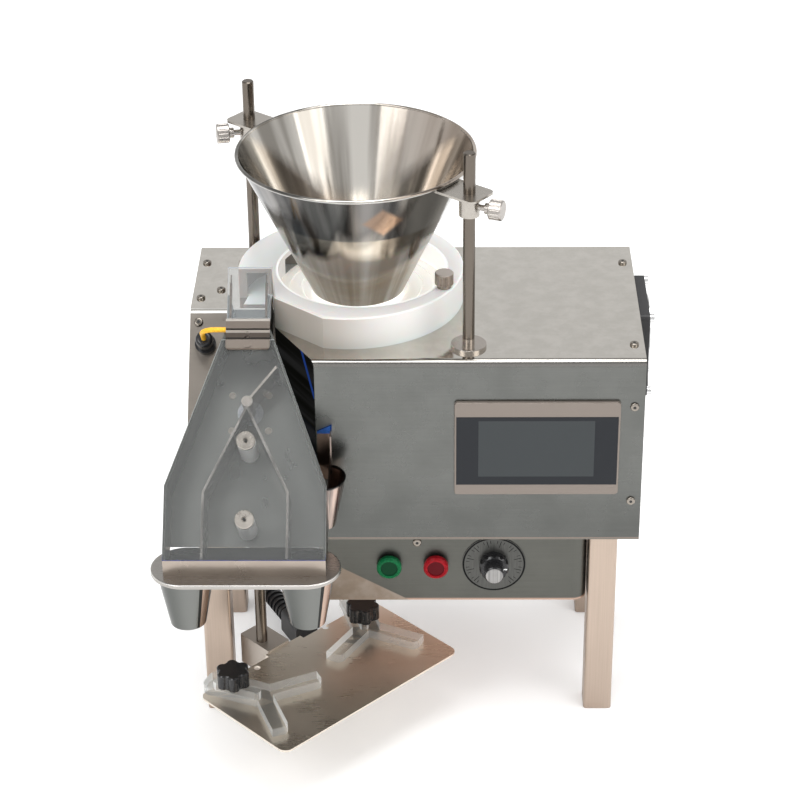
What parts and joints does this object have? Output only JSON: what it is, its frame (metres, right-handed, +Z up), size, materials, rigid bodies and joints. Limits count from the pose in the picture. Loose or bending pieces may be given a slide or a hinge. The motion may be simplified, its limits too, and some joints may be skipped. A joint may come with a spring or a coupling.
{
  "type": "capsule counter",
  "caption": "Bench-top capsule counter: steel hopper over a turning disc in a white bowl, sensor, two-way chute with funnel cups, operator panel and swinging bottle platform.",
  "frame": {"origin": "on the floor under the middle of the outer box, measured without the mains lead", "axes": "+Z up; +X to the right seen from the operator's side; +Y to the back"},
  "size_m": [0.4244, 0.4796, 0.545],
  "materials": {
    "polished_steel": "polished stainless steel",
    "brushed_steel": "brushed stainless steel",
    "screw_steel": "bright turned steel",
    "chrome_wire": "chromed wire",
    "turned_aluminium": "turned or milled aluminium",
    "silver_plate": "satin silver plate",
    "silver_bezel": "silver painted plastic",
    "anodised_block": "brownish anodised metal",
    "brown_metal": "dark anodised, knurled",
    "white_plastic": "milky white plastic",
    "black_plastic": "black plastic",
    "green_button": "green plastic",
    "red_button": "red plastic",
    "dark_glass": "dark panel glass",
    "clear_sheet": "clear acrylic",
    "unit_housing": "painted metal housing",
    "yellow_lead": "yellow lead sheath",
    "black_rubber": "black flexible sheath"
  },
  "bodies": {
    "housing": {"top_cover": "polished_steel", "front_left_panel": "brushed_steel", "left_panel": "brushed_steel", "right_panel": "brushed_steel", "rear_panel": "brushed_steel", "base_panel": "brushed_steel", "panel_screws": "screw_steel", "control_box": "brushed_steel", "leg_front_left": "polished_steel", "leg_front_right": "polished_steel", "leg_rear_left": "polished_steel", "leg_rear_right": "polished_steel", "control_bodies": "black_plastic", "dial_plate": "silver_plate", "hmi_case": "silver_bezel", "hmi_glass": "dark_glass", "electronics": "unit_housing", "fan_frame": "black_plastic", "fan_guard": "chrome_wire", "bowl_ring": "white_plastic", "bearing_housing": "turned_aluminium", "gear_motor": "unit_housing", "hopper_posts": "polished_steel", "chute_tray": "brushed_steel", "flap_stepper": "unit_housing", "chute_divider": "brushed_steel", "chute_cover": "clear_sheet", "cover_standoffs": "white_plastic", "cover_screws": "screw_steel", "cup_plate": "polished_steel", "bottle_cups": "polished_steel", "purge_cup": "polished_steel", "sensor_block": "anodised_block", "outlet_guard": "clear_sheet", "cable_glands": "black_plastic", "sensor_lead": "yellow_lead", "mains_cord": "black_rubber", "mains_coil": "black_rubber", "mains_plug": "black_rubber"},
    "turntable": {"turntable": "white_plastic", "turntable_spindle": "screw_steel"},
    "hopper": {"hopper": "polished_steel", "hopper_ears": "brushed_steel"},
    "hopper_screw_right": {"hopper_screw_right": "screw_steel"},
    "hopper_screw_left": {"hopper_screw_left": "screw_steel"},
    "ring_thumb_screw": {"ring_thumb_screw": "brown_metal"},
    "start_button": {"start_button": "green_button"},
    "stop_button": {"stop_button": "red_button"},
    "speed_knob": {"speed_knob": "black_plastic"},
    "fan_rotor": {"fan_rotor": "black_plastic"},
    "flap": {"flap": "polished_steel"},
    "platform_rod": {"platform_rod": "polished_steel"},
    "platform": {"clamp_block": "turned_aluminium", "platform_plate": "polished_steel"},
    "fork_pivot_left": {"fork_pivot_left": "screw_steel"},
    "fork_left": {"fork_left": "clear_sheet"},
    "fork_knob_left": {"fork_knob_left": "black_plastic"},
    "fork_pivot_right": {"fork_pivot_right": "screw_steel"},
    "fork_right": {"fork_right": "clear_sheet"},
    "fork_knob_right": {"fork_knob_right": "black_plastic"}
  },
  "joints": [
    {"name": "turntable_spin", "type": "hinge", "parent": "housing", "child": "turntable", "pos_m": [-0.03917, 0.0653, 0.377], "axis": [0, 0, 1], "continuous": true},
    {"name": "hopper_height", "type": "slide", "parent": "housing", "child": "hopper", "axis": [0, 0, 1], "range_m": [-0.006, 0.035]},
    {"name": "hopper_screw_right_turn", "type": "hinge", "parent": "hopper", "child": "hopper_screw_right", "pos_m": [0.05153, -0.0227, 0.498], "axis": [0.9397, -0.342, 0], "range_deg": [0, 360]},
    {"name": "hopper_screw_left_turn", "type": "hinge", "parent": "hopper", "child": "hopper_screw_left", "pos_m": [-0.13587, 0.1273, 0.498], "axis": [-0.9848, -0.1736, 0], "range_deg": [0, 360]},
    {"name": "ring_thumb_screw_turn", "type": "hinge", "parent": "housing", "child": "ring_thumb_screw", "pos_m": [0.03133, 0.0283, 0.398], "axis": [0, 0, 1], "range_deg": [0, 360]},
    {"name": "start_press", "type": "slide", "parent": "housing", "child": "start_button", "axis": [0, 1, 0], "range_m": [0, 0.003], "stiffness_N_per_m": 1500, "springref_m": -0.001},
    {"name": "stop_press", "type": "slide", "parent": "housing", "child": "stop_button", "axis": [0, 1, 0], "range_m": [0, 0.003], "stiffness_N_per_m": 1500, "springref_m": -0.001},
    {"name": "speed_turn", "type": "hinge", "parent": "housing", "child": "speed_knob", "pos_m": [0.07453, -0.0397, 0.158], "axis": [0, -1, 0], "range_deg": [-60, 240]},
    {"name": "fan_spin", "type": "hinge", "parent": "housing", "child": "fan_rotor", "pos_m": [0.20333, 0.0823, 0.322], "axis": [1, 0, 0], "continuous": true},
    {"name": "flap_swing", "type": "hinge", "parent": "housing", "child": "flap", "pos_m": [-0.13317, -0.02077, 0.30253], "axis": [0, -0.7071, 0.7071], "range_deg": [0, 77.8]},
    {"name": "platform_swing", "type": "hinge", "parent": "housing", "child": "platform_rod", "pos_m": [-0.13167, -0.0277, 0.1], "axis": [0, 0, 1], "range_deg": [-44.8, 35]},
    {"name": "platform_height", "type": "slide", "parent": "platform_rod", "child": "platform", "axis": [0, 0, 1], "range_m": [-0.01, 0.02]},
    {"name": "fork_left_swing", "type": "hinge", "parent": "platform", "child": "fork_pivot_left", "pos_m": [-0.15161, -0.10249, 0.075], "axis": [0, 0, 1], "range_deg": [-12, 12]},
    {"name": "fork_left_slide", "type": "slide", "parent": "fork_pivot_left", "child": "fork_left", "axis": [0.9259, -0.3778, 0], "range_m": [-0.012, 0.012]},
    {"name": "fork_left_knob_turn", "type": "hinge", "parent": "fork_pivot_left", "child": "fork_knob_left", "pos_m": [-0.15161, -0.10249, 0.085], "axis": [0, 0, 1], "range_deg": [0, 360]},
    {"name": "fork_right_swing", "type": "hinge", "parent": "platform", "child": "fork_pivot_right", "pos_m": [-0.04197, -0.00252, 0.075], "axis": [0, 0, 1], "range_deg": [-12, 12]},
    {"name": "fork_right_slide", "type": "slide", "parent": "fork_pivot_right", "child": "fork_right", "axis": [0.289, -0.9573, 0], "range_m": [-0.004, 0.02]},
    {"name": "fork_right_knob_turn", "type": "hinge", "parent": "fork_pivot_right", "child": "fork_knob_right", "pos_m": [-0.04197, -0.00252, 0.085], "axis": [0, 0, 1], "range_deg": [0, 360]}
  ]
}
